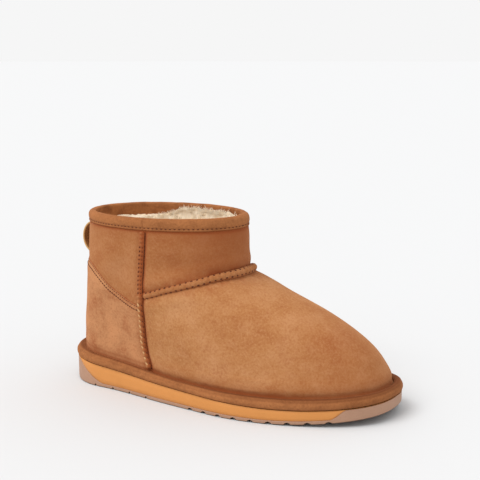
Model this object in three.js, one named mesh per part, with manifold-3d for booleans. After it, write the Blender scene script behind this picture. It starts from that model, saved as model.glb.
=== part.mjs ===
// Ankle-high sheepskin boot, right foot. Millimetres, +Z up, +X towards the toe, +Y towards the inner ankle.
// The origin is the middle of the boot's footprint on the floor.
import * as THREE from 'three';
import { mergeVertices } from 'three/addons/utils/BufferGeometryUtils.js';
import Module from 'manifold-3d';

const wasm = await Module();
wasm.setup();

// ---- driving dimensions -------------------------------------------------------------------
const SOLE_LENGTH = 272;
const SHAFT_HEIGHT = 141.5;      // floor to the top of the collar
const GAP = 0.3;                 // clearance between pieces that touch
const HALF_STEPS = 28;           // facets from the heel's middle to the toe tip, on each side

const TREAD = 3.0;               // rubber under the foam
const GROOVE_DEPTH = 1.6;
const GROOVE_WIDTH = 2.6;
const GROOVE_BOW = 5;            // how far a groove's middle runs ahead of its ends
const TOE_SPRING = 7;
const SPRING_START = 185;
const HEEL_BEVEL = 1.8;
const HEEL_BEVEL_RUN = 14;

const FOXING_HEIGHT = 8.2;
const FOXING_PROUD = 1.2;        // how far the foxing stands out past the sole
const INSOLE_THICK = 5;
const FLEECE_WALL = 8;           // suede and wool together
const RIM_WALL = 2.6;            // the same wall where the binding squeezes it
const UPPER_TOP = SHAFT_HEIGHT - 2;
const BINDING_OUTSIDE = 9.7;     // height of the binding's outer leg
const BINDING_INSIDE = 13.5;
const BINDING_THICK = 1.0;
const COLLAR_TILT = 0.9;         // degrees, higher at the front
const COUNTER_PROUD = 1.4;       // outer face of the counter above the upper
const LOOP = { middle: 116.6, halfHeight: 12.2, reach: 11.2, thick: 1.7, width: 14 };

// Height of the foam's top above the floor, before toe spring, from heel to toe.
const BED = [
  { x: 0, z: 20.8 },
  { x: 60, z: 16.4 },
  { x: 120, z: 13.6 },
  { x: 190, z: 11.5 },
  { x: SOLE_LENGTH, z: 9.8 },
];

// One row for each level of the upper. back and front are the ends on the middle line, heelRun is the
// length of the round heel, the halves are widths either side of the middle line (out is the little-toe
// side), ballX is where the toe's curve starts, tip is how far the toe swings in, round is its exponent.
const SECTION_COLUMNS = [
  'h', 'back', 'heelRun', 'heelHalf', 'outWaist', 'inWaist',
  'ballX', 'outBall', 'inBall', 'front', 'tip', 'round',
];
const UPPER_SECTIONS = [
  [0, 6.7, 35, 32.6, 41.6, 36.0, 184, 47.6, 44.4, 267.2, 17.2, 2.42],
  [12, 7.6, 35, 32.3, 41.8, 37.0, 182, 47.0, 45.0, 265.4, 16.6, 2.38],
  [28, 8.1, 36, 33.8, 42.6, 38.8, 170, 46.4, 45.6, 259.5, 14.5, 2.3],
  [45, 9.5, 37, 34.9, 43.2, 41.0, 151, 45.6, 45.0, 246.1, 11, 2.2],
  [60, 11.5, 39, 36.1, 43.5, 42.0, 130, 44.8, 44.5, 225.8, 8, 2.1],
  [75, 12.7, 42, 38.0, 43.5, 43.0, 112, 44.1, 44.0, 194.1, 5, 2.0],
  [88, 13.4, 47, 39.9, 43.5, 43.5, 98, 43.7, 43.7, 163.8, 3, 2.0],
  [97, 13.6, 52, 41.5, 43.5, 43.5, 90, 43.5, 43.5, 152.2, 1.5, 2.0],
  [104, 13.4, 58, 43.0, 44.0, 44.0, 85, 44.0, 44.0, 152.6, 0.8, 2.0],
  [115, 13.6, 64, 44.5, 45.0, 45.0, 84, 45.0, 45.0, 152.3, 0, 2.0],
  [128, 14.6, 67, 45.4, 45.6, 45.6, 83, 45.6, 45.6, 151.7, 0, 2.0],
  [SHAFT_HEIGHT, 16.2, 66.8, 44.6, 44.6, 44.6, 83, 44.6, 44.6, 149.4, 0, 2.0],
].map((row) => Object.fromEntries(SECTION_COLUMNS.map((column, i) => [column, row[i]])));
const SOLE_SECTION = {
  back: 0, heelRun: 40, heelHalf: 37.7, outWaist: 46.6, inWaist: 41.0,
  ballX: 184, outBall: 52.5, inBall: 49.2, front: SOLE_LENGTH, tip: 17.4, round: 2.49,
};
const HEEL_ROUND = 2.1;          // exponent of the heel's curve
const TIP_LEAD = 34;             // the toe starts to swing in this far behind the ball

// Levels of the upper's facets, closer together where its outline turns.
const LEVELS = [
  0, 4, 9, 15, 22, 30, 38, 46, 54, 62, 69, 76, 82, 88, 93, 97, 101, 106, 113, 121, 129, 135, UPPER_TOP,
];

// Where the tread's grooves cross the outer edge: heel block, then forefoot.
const HEEL_GROOVES = { first: 36, last: 90, count: 4 };
const BALL_GROOVES = { first: 134, last: 240, count: 9 };

// ---- helpers --------------------------------------------------------------------------------
const clamp01 = (t) => Math.min(1, Math.max(0, t));
const smooth = (t) => clamp01(t) ** 2 * (3 - 2 * clamp01(t));
const steps = (from, to, count) =>
  Array.from({ length: count }, (_, i) => from + ((to - from) * i) / (count - 1));

// Monotone cubic through the rows of a table: it never swings past a row's value.
function curveThrough(xs, ys) {
  const slopes = xs.slice(1).map((x, i) => (ys[i + 1] - ys[i]) / (x - xs[i]));
  const tangents = ys.map((_, i) => {
    if (i === 0) return slopes[0];
    if (i === ys.length - 1) return slopes[i - 1];
    const [a, b] = [slopes[i - 1], slopes[i]];
    return a * b <= 0 ? 0 : (2 * a * b) / (a + b);
  });
  return (x) => {
    let i = xs.findIndex((limit) => x < limit) - 1;
    if (i === -2) i = xs.length - 2;
    i = Math.max(0, i);
    const run = xs[i + 1] - xs[i];
    const t = (x - xs[i]) / run;
    const ease = t * t * (3 - 2 * t);
    const bend = t * (1 - t) ** 2 * tangents[i] - t * t * (1 - t) * tangents[i + 1];
    return ys[i] * (1 - ease) + ys[i + 1] * ease + run * bend;
  };
}

const bedCurve = curveThrough(BED.map((row) => row.x), BED.map((row) => row.z));
const spring = (x) => TOE_SPRING * clamp01((x - SPRING_START) / (SOLE_LENGTH - SPRING_START)) ** 2;
const bed = (x) => bedCurve(Math.min(SOLE_LENGTH, Math.max(0, x))) + 0.9 * spring(x);
const ground = (x) => spring(x) + HEEL_BEVEL * clamp01((HEEL_BEVEL_RUN - x) / HEEL_BEVEL_RUN) ** 2;

const columnCurves = Object.fromEntries(
  Object.keys(UPPER_SECTIONS[0]).map((column) => [
    column,
    curveThrough(UPPER_SECTIONS.map((row) => row.h), UPPER_SECTIONS.map((row) => row[column])),
  ]),
);
const upperSection = (h) =>
  Object.fromEntries(Object.entries(columnCurves).map(([column, at]) => [column, at(h)]));

// One side of a level: round heel, waist, and round toe, as a fine polyline from the heel to the tip.
function sideLine(section, side) {
  const waist = side < 0 ? section.outWaist : section.inWaist;
  const ball = side < 0 ? section.outBall : section.inBall;
  const heelEnd = section.back + section.heelRun;
  const ballX = Math.max(section.ballX, heelEnd + 0.01);
  const points = [];
  for (const angle of steps(0, Math.PI / 2, 40)) {
    points.push([
      heelEnd - section.heelRun * Math.cos(angle) ** (2 / HEEL_ROUND),
      section.heelHalf * Math.sin(angle) ** (2 / HEEL_ROUND),
    ]);
  }
  const middle = (heelEnd + ballX) / 2;
  const waistSlope = (ball - section.heelHalf) / (ballX - heelEnd);
  for (const x of steps(heelEnd, ballX, 40).slice(1, -1)) {
    const near = x < middle;
    const [x0, y0, y1] = near ? [heelEnd, section.heelHalf, waist] : [middle, waist, ball];
    const run = middle - heelEnd;
    const t = (x - x0) / run;
    const bend = near ? -t * t * (1 - t) : t * (1 - t) ** 2;
    points.push([x, y0 + (y1 - y0) * smooth(t) + run * waistSlope * bend]);
  }
  for (const angle of steps(0, Math.PI / 2, 50)) {
    points.push([
      ballX + (section.front - ballX) * Math.sin(angle) ** (2 / section.round),
      ball * Math.cos(angle) ** (2 / section.round),
    ]);
  }
  const tipStart = section.ballX - TIP_LEAD;
  const swing = (x) => section.tip * smooth((x - tipStart) / (section.front - tipStart));
  return points.map(([x, y]) => [x, side * y + swing(x)]);
}

// The polyline cut into equal steps.
function evenly(points, count) {
  const along = [0];
  for (let i = 1; i < points.length; i += 1) {
    along.push(along[i - 1] + Math.hypot(points[i][0] - points[i - 1][0], points[i][1] - points[i - 1][1]));
  }
  return steps(0, along.at(-1), count + 1).map((target) => {
    const i = Math.max(1, along.findIndex((value) => value >= target - 1e-9));
    const t = (target - along[i - 1]) / (along[i] - along[i - 1] || 1);
    return new THREE.Vector2(
      points[i - 1][0] + t * (points[i][0] - points[i - 1][0]),
      points[i - 1][1] + t * (points[i][1] - points[i - 1][1]),
    );
  });
}

// A level as one closed ring: heel, outer side, toe tip, inner side. grow moves it outwards.
function ring(section, grow = 0) {
  const outer = evenly(sideLine(section, -1), HALF_STEPS);
  const inner = evenly(sideLine(section, 1), HALF_STEPS);
  const points = [...outer, ...inner.slice(1, -1).reverse()];
  return points.map((point, i) => {
    const before = points.at(i - 1);
    const after = points[(i + 1) % points.length];
    const along = after.clone().sub(before).normalize();
    return new THREE.Vector2(point.x + grow * along.y, point.y - grow * along.x);
  });
}

function upperHeight(h, x) {
  const tilt = Math.tan(THREE.MathUtils.degToRad(COLLAR_TILT)) * (x - SOLE_LENGTH * 0.3);
  return h + bed(x) * (1 - h / SHAFT_HEIGHT) + tilt * (h / SHAFT_HEIGHT) ** 3;
}
const upperRing = (h, grow = 0) =>
  ring(upperSection(h), grow).map(({ x, y }) => new THREE.Vector3(x, y, upperHeight(h, x)));

// Outward normals of a grid of rings.
function normalsOf(rows) {
  return rows.map((row, i) =>
    row.map((_, j) => {
      const across = row[(j + 1) % row.length].clone().sub(row.at(j - 1));
      const up = rows[Math.min(i + 1, rows.length - 1)][j].clone().sub(rows[Math.max(i - 1, 0)][j]);
      const normal = across.cross(up);
      if (i === 0 || i === rows.length - 1) normal.z = 0;
      return normal.normalize();
    }),
  );
}

// Skin over rings of equal count. With no caps the last ring joins the first, which makes a hoop.
function skin(rows, capped) {
  const size = rows[0].length;
  const half = size / 2;
  const index = [];
  const quad = (a, b, c, d) => index.push(a, b, c, a, c, d);
  const last = capped ? rows.length - 1 : rows.length;
  for (let i = 0; i < last; i += 1) {
    const next = (i + 1) % rows.length;
    for (let j = 0; j < size; j += 1) {
      const k = (j + 1) % size;
      quad(i * size + j, i * size + k, next * size + k, next * size + j);
    }
  }
  if (capped) {
    const top = (rows.length - 1) * size;
    for (let j = 0; j < half; j += 1) {
      const [near, ahead, farAhead, far] = [j, j + 1, size - j - 1, (size - j) % size];
      if (j < half - 1) {
        index.push(top + near, top + ahead, top + farAhead, near, farAhead, ahead);
      }
      if (j > 0) {
        const end = j < half - 1 ? farAhead : ahead;
        index.push(top + near, top + end, top + far, near, far, end);
      }
    }
  }
  const geometry = new THREE.BufferGeometry();
  const flat = rows.flat().flatMap((point) => [point.x, point.y, point.z]);
  geometry.setAttribute('position', new THREE.Float32BufferAttribute(flat, 3));
  geometry.setIndex(index);
  return geometry;
}

function toSolid(geometry) {
  const plain = geometry.clone();
  plain.deleteAttribute('normal');
  plain.deleteAttribute('uv');
  const merged = mergeVertices(plain, 1e-4);
  return new wasm.Manifold(
    new wasm.Mesh({
      numProp: 3,
      vertProperties: new Float32Array(merged.attributes.position.array),
      triVerts: new Uint32Array(merged.index.array),
    }),
  );
}

function toGeometry(solid) {
  const mesh = solid.getMesh();
  const geometry = new THREE.BufferGeometry();
  geometry.setAttribute('position', new THREE.Float32BufferAttribute(Array.from(mesh.vertProperties), 3));
  geometry.setIndex(Array.from(mesh.triVerts));
  return geometry;
}

// A side-view outline (x, z) run right across the boot.
function across(shape, width = 200, y = 0) {
  const geometry = new THREE.ExtrudeGeometry(shape, { depth: width, bevelEnabled: false, curveSegments: 12 });
  return geometry.rotateX(Math.PI / 2).translate(0, y + width / 2, 0);
}

// ---- sole -----------------------------------------------------------------------------------
// Line where rubber gives way to foam: level under the foot, and up over both ends as a cup.
const HEEL_CUP = { top: 12, bottom: 43, rise: 17.5, bend: 1.25 };
const TOE_CUP = { top: 253, bottom: 241, rise: 10, bend: 1.2 };
function cupLine(x) {
  const heel = Math.max(0, (HEEL_CUP.bottom - x) / (HEEL_CUP.bottom - HEEL_CUP.top)) ** HEEL_CUP.bend;
  const toe = Math.max(0, (x - TOE_CUP.bottom) / (TOE_CUP.top - TOE_CUP.bottom)) ** TOE_CUP.bend;
  return TREAD + spring(x) + HEEL_CUP.rise * heel + TOE_CUP.rise * toe;
}
const CUP_STATIONS = [
  ...steps(-6, HEEL_CUP.bottom, 13),
  ...steps(SPRING_START, TOE_CUP.bottom, 6),
  ...steps(TOE_CUP.bottom, SOLE_LENGTH + 6, 9).slice(1),
];
function soleSide(floor, shift) {
  const shape = new THREE.Shape();
  shape.moveTo(CUP_STATIONS[0], floor);
  CUP_STATIONS.forEach((x) => shape.lineTo(x, cupLine(x) + shift));
  shape.lineTo(CUP_STATIONS.at(-1), floor);
  return toSolid(across(shape));
}

function soleBlock() {
  const edge = [
    { t: 0, inset: 2.2 },
    { t: 0.06, inset: 1.0 },
    { t: 0.18, inset: 0.3 },
    { t: 1, inset: 0 },
  ];
  const rows = edge.map(({ t, inset }) =>
    ring(SOLE_SECTION, -inset).map(({ x, y }) => {
      const top = bed(x) - GAP;
      return new THREE.Vector3(x, y, ground(x) + t * (top - ground(x)));
    }),
  );
  return toSolid(skin(rows, true));
}

// A shallow curved channel across the tread, open at both sides.
function groove(x) {
  const bow = (y) => x + GROOVE_BOW * (1 - (y / 50) ** 2);
  const shape = new THREE.Shape();
  const ys = steps(-75, 75, 9);
  ys.forEach((y, i) => (i ? shape.lineTo(bow(y), y) : shape.moveTo(bow(y), y)));
  ys.reverse().forEach((y) => shape.lineTo(bow(y) + GROOVE_WIDTH, y));
  const geometry = new THREE.ExtrudeGeometry(shape, { depth: 6, bevelEnabled: false });
  return toSolid(geometry.translate(-GROOVE_WIDTH / 2, 0, ground(x) + GROOVE_DEPTH - 6));
}

function outsole() {
  let solid = soleBlock().intersect(soleSide(-20, -GAP / 2));
  for (const run of [HEEL_GROOVES, BALL_GROOVES]) {
    for (const x of steps(run.first, run.last, run.count)) {
      solid = solid.subtract(groove(x));
    }
  }
  return toGeometry(solid);
}

const midsole = () => toGeometry(soleBlock().intersect(soleSide(60, GAP / 2)));

// ---- upper ----------------------------------------------------------------------------------
// Full fleece below the collar, thinning to the pinched edge that the binding wraps.
const wallAt = (h) => RIM_WALL + (FLEECE_WALL - RIM_WALL) * (1 - smooth((h - 112) / 12));

function upperRows() {
  const outside = LEVELS.map((h) => upperRing(h));
  const normals = normalsOf(outside);
  const inside = outside.map((row, i) =>
    row.map((point, j) => point.clone().addScaledVector(normals[i][j], -wallAt(LEVELS[i]))),
  );
  inside[0].forEach((point) => point.setZ(bed(point.x)));
  return { outside, inside };
}
function upper() {
  const { outside, inside } = upperRows();
  return skin([...outside, ...inside.reverse()], false);
}

function foxing() {
  const profile = [
    { h: 0, out: 0.5 },
    { h: 1.8, out: FOXING_PROUD },
    { h: 4.2, out: FOXING_PROUD },
    { h: 6.4, out: 0.4 },
    { h: 7.8, out: -1.0 },
    { h: FOXING_HEIGHT, out: -2.6 },
  ];
  const outside = profile.map(({ h, out }) =>
    ring(SOLE_SECTION, out).map(({ x, y }) => new THREE.Vector3(x, y, bed(x) + h)),
  );
  const inside = [FOXING_HEIGHT - 0.8, 4, 0].map((h) =>
    ring(upperSection(h), GAP).map(({ x, y }) => new THREE.Vector3(x, y, bed(x) + h)),
  );
  return skin([...outside, ...inside], false);
}

function insole() {
  const floor = upperRows().inside[0].map(({ x, y }) => new THREE.Vector2(x, y));
  const rows = [
    { lift: 0, inset: 1.6 },
    { lift: INSOLE_THICK - 1, inset: 1.8 },
    { lift: INSOLE_THICK, inset: 3.0 },
  ].map(({ lift, inset }) =>
    floor.map((point, i) => {
      const along = floor[(i + 1) % floor.length].clone().sub(floor.at(i - 1)).normalize();
      const x = point.x - inset * along.y;
      const y = point.y + inset * along.x;
      return new THREE.Vector3(x, y, bed(x) + lift);
    }),
  );
  return skin(rows, true);
}

function collarBinding() {
  const top = SHAFT_HEIGHT + 0.6;
  const proud = GAP + BINDING_THICK;
  const profile = [
    { h: SHAFT_HEIGHT - BINDING_OUTSIDE, out: proud },
    { h: top - 3.5, out: proud + 0.5 },
    { h: top - 1.8, out: proud + 0.2 },
    { h: top - 0.5, out: proud - 1.0 },
    { h: top, out: -RIM_WALL / 2 },
    { h: top - 0.7, out: -RIM_WALL - proud + 0.7 },
    { h: top - 2.0, out: -RIM_WALL - proud },
    { h: SHAFT_HEIGHT - BINDING_INSIDE, out: -RIM_WALL - proud },
    { h: SHAFT_HEIGHT - BINDING_INSIDE, out: -RIM_WALL - GAP },
    { h: UPPER_TOP + GAP, out: -RIM_WALL - GAP },
    { h: UPPER_TOP + GAP, out: GAP },
    { h: SHAFT_HEIGHT - BINDING_OUTSIDE, out: GAP },
  ];
  return skin(profile.map(({ h, out }) => upperRing(h, out)), false);
}

// Counter: the shell between two grown copies of the upper, kept inside its own side-view outline.
const COUNTER_EDGE = [
  { x: 87, h: 9.4 },
  { x: 86.5, h: 64.7 },
  { x: 74.7, h: 68.1 },
  { x: 54, h: 77.4 },
  { x: 40, h: 89 },
  { x: 31, h: 93.8 },
  { x: 20, h: 95.4 },
  { x: -10, h: 95.5 },
];
function grownUpper(grow) {
  const levels = LEVELS.filter((h) => h > 0 && h < 115);
  return toSolid(skin(levels.map((h) => upperRing(h, grow)), true));
}
function heelCounter() {
  const shape = new THREE.Shape();
  shape.moveTo(-10, upperHeight(COUNTER_EDGE[0].h, 0));
  for (const x of [20, 45, 66]) shape.lineTo(x, upperHeight(COUNTER_EDGE[0].h, x));
  COUNTER_EDGE.forEach(({ x, h }) => shape.lineTo(x, upperHeight(h, x)));
  const shell = grownUpper(COUNTER_PROUD).subtract(grownUpper(GAP));
  return toGeometry(shell.intersect(toSolid(across(shape))));
}

// A strap bent into a D, both of its ends sewn to the back of the shaft.
function pullLoop() {
  const { middle, halfHeight, reach, thick, width } = LOOP;
  const back = upperSection(middle).back - GAP;
  const [up, down] = [Math.PI / 2, (3 * Math.PI) / 2];
  const shape = new THREE.Shape();
  shape.absellipse(back, middle, reach, halfHeight, up, down, false);
  shape.absellipse(back, middle, reach - thick, halfHeight - thick, down, up, true);
  return across(shape, width);
}

// ---- assembly -------------------------------------------------------------------------------
const MATERIALS = {
  suede: { color: 0xc08658, roughness: 0.9 },
  counter_suede: { color: 0xb87f55, roughness: 0.9 },
  trim_suede: { color: 0xa0643b, roughness: 0.9 },
  wool: { color: 0xe6d8c0, roughness: 1 },
  foam: { color: 0xcd8a50, roughness: 0.6 },
  rubber: { color: 0xb0907a, roughness: 0.7 },
};
const PIECES = [
  { name: 'outsole', material: 'rubber', make: outsole },
  { name: 'midsole', material: 'foam', make: midsole },
  { name: 'foxing', material: 'trim_suede', make: foxing },
  { name: 'insole', material: 'wool', make: insole },
  { name: 'upper', material: 'suede', make: upper },
  { name: 'heel_counter', material: 'counter_suede', make: heelCounter },
  { name: 'collar_binding', material: 'trim_suede', make: collarBinding },
  { name: 'pull_loop', material: 'trim_suede', make: pullLoop },
];

const boot = new THREE.Group();
for (const { name, material, make } of PIECES) {
  const finish = new THREE.MeshStandardMaterial({ ...MATERIALS[material], metalness: 0 });
  const mesh = new THREE.Mesh(make(), finish);
  mesh.name = name;
  boot.add(mesh);
}
const middle = new THREE.Box3().setFromObject(boot).getCenter(new THREE.Vector3());
boot.position.set(-middle.x, -middle.y, 0);

export default boot;
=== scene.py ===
"""Right sheepskin ankle boot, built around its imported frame. Metres, +Z up, +X towards the toe."""
import bisect
import math
import random

import bmesh
import bpy
from bpy.props import FloatProperty, FloatVectorProperty, IntProperty, PointerProperty
from mathutils import Matrix, Vector, noise
from mathutils.bvhtree import BVHTree


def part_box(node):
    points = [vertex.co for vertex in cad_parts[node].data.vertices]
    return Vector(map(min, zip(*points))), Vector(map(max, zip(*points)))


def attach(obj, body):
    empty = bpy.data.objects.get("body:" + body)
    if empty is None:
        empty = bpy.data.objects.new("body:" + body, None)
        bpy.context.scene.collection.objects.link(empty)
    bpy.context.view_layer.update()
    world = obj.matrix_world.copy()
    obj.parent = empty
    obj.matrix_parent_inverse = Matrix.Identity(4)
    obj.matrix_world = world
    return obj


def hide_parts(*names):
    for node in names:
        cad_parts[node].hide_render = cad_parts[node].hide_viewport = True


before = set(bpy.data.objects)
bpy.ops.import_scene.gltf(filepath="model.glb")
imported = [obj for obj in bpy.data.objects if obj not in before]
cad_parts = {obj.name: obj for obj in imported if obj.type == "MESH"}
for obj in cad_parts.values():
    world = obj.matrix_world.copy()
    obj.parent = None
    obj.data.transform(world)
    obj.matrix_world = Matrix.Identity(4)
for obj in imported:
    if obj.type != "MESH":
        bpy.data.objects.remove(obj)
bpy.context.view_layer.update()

bl_info = {
    "name": "Sheepskin Ankle Boot",
    "version": (1, 0, 0),
    "blender": (4, 5, 0),
    "location": "3D View > Sidebar > Boot",
    "description": "Builds the suede, fleece and sole of an ankle boot around its frame",
    "category": "Add Mesh",
}

# ---- the boot's own frame -------------------------------------------------------------------
# Places are given in millimetres from the back of the heel, the boot's middle line and the floor.
MM = 0.001
HEEL_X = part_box("outsole")[0].x
MIDDLE_Y = sum(corner.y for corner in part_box("pull_loop")) / 2
FOXING_STAND = 1.2               # how far the foxing stands out past the sole
SOLE_LENGTH = (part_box("foxing")[1].x - HEEL_X) / MM - FOXING_STAND
OUTER, INNER = -1, 1             # little-toe side and big-toe side


def place(x, y, z):
    """A point of the boot, in metres."""
    return Vector((HEEL_X + x * MM, MIDDLE_Y + y * MM, z * MM))


def measure(point):
    """A point in metres as the boot's own millimetres."""
    return (point.x - HEEL_X) / MM, (point.y - MIDDLE_Y) / MM, point.z / MM


def smooth(t):
    t = min(1.0, max(0.0, t))
    return t * t * (3 - 2 * t)


def swell(distance, width):
    """1 at no distance, fading softly over the width."""
    return math.exp(-((distance / width) ** 2))


def steps(first, last, count):
    return [first + (last - first) * i / (count - 1) for i in range(count)]


def through(*rows):
    """A smooth line through (along, value) rows that never swings past a row's value."""
    xs, ys = zip(*rows)
    slopes = [(ys[i + 1] - ys[i]) / (xs[i + 1] - xs[i]) for i in range(len(xs) - 1)]
    middle = [0 if a * b <= 0 else 2 * a * b / (a + b) for a, b in zip(slopes, slopes[1:])]
    tangents = [slopes[0], *middle, slopes[-1]]

    def at(x):
        x = min(max(x, xs[0]), xs[-1])
        i = max(0, min(bisect.bisect_right(xs, x) - 1, len(slopes) - 1))
        run = xs[i + 1] - xs[i]
        t = (x - xs[i]) / run
        bend = t * (1 - t) ** 2 * tangents[i] - t * t * (1 - t) * tangents[i + 1]
        return ys[i] + (ys[i + 1] - ys[i]) * smooth(t) + run * bend

    return at


# Sole: top of the foam, toe spring, the heel's bevelled underside, and the tread with its grooves.
FOAM_TOP = through((0, 20.8), (60, 16.4), (120, 13.6), (190, 11.5), (272, 9.8))
SPRING_START, TOE_SPRING = 185, 7
HEEL_BEVEL, HEEL_BEVEL_RUN = 1.8, 14
TREAD = 3.0
HEEL_GROOVES, BALL_GROOVES = (33.5, 88, 4), (133.4, 236.5, 9)      # first, last, how many
HEEL_GROOVE_WIDTH, BALL_GROOVE_WIDTH = 2.4, 5.6
GROOVE_DEPTH, GROOVE_BOW = 2.2, 5
GROOVE_AXIS_DROP = 0.6              # how far under the tread a cutter's middle runs
GROOVED_FROM, GROOVED_TO = 25, 250

# Upper: seam places. The shaft's seams are given round its own upright axis.
SHAFT_X = 83
COLLAR = 141.5
BINDING_FOOT = COLLAR - 9.7         # level of the collar binding's lower edge
FOXING_HEIGHT = 8.2
SIDE_SEAM = through(                # height: distance from the heel
    (26.4, 89.4), (36.5, 86.4), (49.9, 85.4), (70.5, 85.6), (82.1, 85.7),
    (94.6, 85.8), (108.9, 87.2), (117.8, 88.6), (133.0, 90.2),
)
SIDE_SEAM_TOP = 132.5               # where the seam goes under the binding
VAMP_SEAM = through((0, 99.9), (20, 98.0), (34, 94.7), (55, 88.9), (80, 82.0), (90, 80.5))
VAMP_SEAM_END = 84                  # degrees either side of straight ahead
COUNTER_EDGE = through(             # distance from the heel: height
    (13, 102), (20, 101.9), (31, 100.2), (40, 95.8), (54, 85.2), (74.7, 76.2), (87.5, 72.8),
)


def spring(x):
    return TOE_SPRING * max(0.0, (x - SPRING_START) / (SOLE_LENGTH - SPRING_START)) ** 2


def bed(x):
    return FOAM_TOP(x) + 0.9 * spring(min(x, SOLE_LENGTH))


def ground(x):
    return spring(x) + HEEL_BEVEL * max(0.0, (HEEL_BEVEL_RUN - x) / HEEL_BEVEL_RUN) ** 2


def foxing_top(x):
    """How high the foxing stands over the foam's top; it sits lower at the waist."""
    return FOXING_HEIGHT - 1.6 * swell(x - 125, 50)


def cup_line(x):
    heel = max(0.0, (43 - x) / 31) ** 1.25
    toe = max(0.0, (x - 241) / 12) ** 1.2
    return min(TREAD + spring(x) + 17.5 * heel + 10 * toe, bed(x) - 0.4)


def collar_level(h, x):
    """Height above the floor of a level of the shaft, which rises a little to the front."""
    tilt = math.tan(math.radians(0.9)) * (x - 0.3 * SOLE_LENGTH)
    return h + bed(x) * (1 - h / COLLAR) + tilt * (h / COLLAR) ** 3


SOLE_FORM = {
    "back": 0, "heel_run": 40, "heel_half": 37.7, "waist": (46.6, 41.0), "ball_x": 184,
    "ball": (52.5, 49.2), "front": SOLE_LENGTH, "tip": 17.4, "round": 2.49,
}
FOOTBED_FORM = {
    "back": 16.5, "heel_run": 27, "heel_half": 22.8, "waist": (31.8, 26.2), "ball_x": 180,
    "ball": (37.8, 34.6), "front": 257.0, "tip": 16.6, "round": 2.4,
}
HEEL_ROUND = 2.1
TIP_LEAD = 34


def side_line(form, side):
    """One side of an outline: round heel, waist and round toe, from the heel to the tip."""
    waist = form["waist"][side > 0]
    ball = form["ball"][side > 0]
    heel_end = form["back"] + form["heel_run"]
    middle = (heel_end + form["ball_x"]) / 2
    slope = (ball - form["heel_half"]) / (form["ball_x"] - heel_end)
    points = []
    for angle in steps(0, math.pi / 2, 40):
        cos, sin = max(0.0, math.cos(angle)), math.sin(angle)
        points.append((
            heel_end - form["heel_run"] * cos ** (2 / HEEL_ROUND),
            form["heel_half"] * sin ** (2 / HEEL_ROUND),
        ))
    for x in steps(heel_end, form["ball_x"], 40)[1:-1]:
        near = x < middle
        x0, y0, y1 = (heel_end, form["heel_half"], waist) if near else (middle, waist, ball)
        run = middle - heel_end
        t = (x - x0) / run
        bend = -t * t * (1 - t) if near else t * (1 - t) ** 2
        points.append((x, y0 + (y1 - y0) * smooth(t) + run * slope * bend))
    for angle in steps(0, math.pi / 2, 50):
        cos, sin = max(0.0, math.cos(angle)), math.sin(angle)
        points.append((
            form["ball_x"] + (form["front"] - form["ball_x"]) * sin ** (2 / form["round"]),
            ball * cos ** (2 / form["round"]),
        ))
    swing_start = form["ball_x"] - TIP_LEAD
    swing = form["front"] - swing_start
    return [
        Vector((x, side * y + form["tip"] * smooth((x - swing_start) / swing))) for x, y in points
    ]


def evenly(points, count):
    """The polyline's points at an even spacing."""
    along = [0.0]
    for a, b in zip(points, points[1:]):
        along.append(along[-1] + (b - a).length)
    found = []
    for target in steps(0, along[-1], count + 1):
        i = max(1, min(bisect.bisect_left(along, target - 1e-9), len(points) - 1))
        t = (target - along[i - 1]) / ((along[i] - along[i - 1]) or 1)
        found.append(points[i - 1].lerp(points[i], t))
    return found


def outline(form, half_count, inset=0.0):
    """A closed outline from the heel's middle round the outer side, drawn in by the inset."""
    outer = evenly(side_line(form, OUTER), half_count)
    inner = evenly(side_line(form, INNER), half_count)
    points = outer + inner[-2:0:-1]
    moved = []
    for i, point in enumerate(points):
        along = (points[(i + 1) % len(points)] - points[i - 1]).normalized()
        moved.append(Vector((point.x - inset * along.y, point.y + inset * along.x)))
    return moved


# ---- mesh helpers ---------------------------------------------------------------------------
def as_mesh(name, bm):
    """A mesh of what the bmesh holds; the bmesh is freed."""
    mesh = bpy.data.meshes.new(name)
    bm.to_mesh(mesh)
    bm.free()
    return mesh


def in_scene(name, data):
    """A new object in the scene for a mesh, a light or a camera."""
    made = bpy.data.objects.new(name, data)
    bpy.context.scene.collection.objects.link(made)
    return made


def finish_piece(name, bm, material, slot, *nodes, sharp=None):
    """Makes the object, with its place in its mesh, hangs it under the root body and hides the frame nodes
    that it stands for.
    """
    old = bpy.data.objects.get(name)
    if old is not None:
        bpy.data.objects.remove(old)
    mesh = as_mesh(name, bm)
    mesh.shade_smooth()
    if sharp is not None:
        mesh.set_sharp_from_angle(angle=math.radians(sharp))
    mesh.materials.append(material)
    piece = in_scene(name, mesh)
    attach(piece, "root")
    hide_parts(*nodes)
    return piece


def with_modifier(bm, kind, **settings):
    """The mesh after one modifier, as a new bmesh."""
    mesh = as_mesh("working", bm)
    helper = in_scene("working", mesh)
    modifier = helper.modifiers.new("shape", kind)
    for key, value in settings.items():
        setattr(modifier, key, value)
    bpy.context.view_layer.update()
    graph = bpy.context.evaluated_depsgraph_get()
    made = bpy.data.meshes.new_from_object(helper.evaluated_get(graph))
    fresh = bmesh.new()
    fresh.from_mesh(made)
    bpy.data.objects.remove(helper)
    bpy.data.meshes.remove(mesh)
    bpy.data.meshes.remove(made)
    return fresh


def subdivided(bm, levels):
    return with_modifier(bm, "SUBSURF", levels=levels, render_levels=levels)


def cad_quads(node):
    """A copy of a frame node's lofted form, merged, with its triangles paired again."""
    bm = bmesh.new()
    bm.from_mesh(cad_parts[node].data)
    bmesh.ops.remove_doubles(bm, verts=bm.verts, dist=1e-6)
    bmesh.ops.join_triangles(
        bm, faces=bm.faces[:], angle_face_threshold=3.1, angle_shape_threshold=3.1, topology_influence=1.5
    )
    if any(len(face.verts) != 4 for face in bm.faces):
        raise RuntimeError(f"{node} is not made of four-sided faces")
    return bm


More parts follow.
